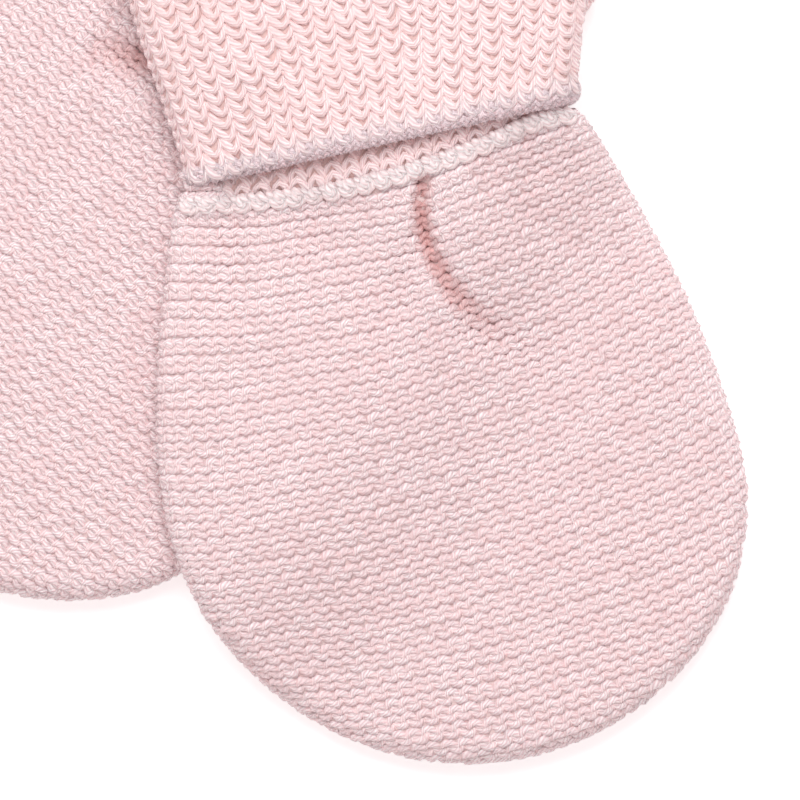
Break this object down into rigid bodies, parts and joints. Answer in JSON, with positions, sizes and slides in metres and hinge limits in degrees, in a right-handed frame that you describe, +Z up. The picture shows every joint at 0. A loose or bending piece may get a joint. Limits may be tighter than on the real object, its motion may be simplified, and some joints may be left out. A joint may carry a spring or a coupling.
{
  "type": "pair of mittens",
  "caption": "Pair of thumbless knitted baby mittens with turned-down ribbed cuffs, laid flat one over the other.",
  "frame": {"origin": "on the surface that the pair lies on, under the middle of the pair's bounding box", "axes": "+Z up out of the surface, towards a viewer; -Y roughly along the right mitten from its cuff to its tip; +X towards the right mitten's side"},
  "size_m": [0.1276, 0.1384, 0.0189],
  "materials": {
    "garter_knit": "garter stitch in pale pink plied cotton with a slight gloss",
    "rib_knit": "1x1 rib in the same pale pink plied cotton"
  },
  "bodies": {
    "root": {"right_front": "garter_knit", "right_back": "garter_knit", "right_cuff": "rib_knit", "left_front": "garter_knit", "left_back": "garter_knit", "left_cuff": "rib_knit"}
  },
  "joints": []
}
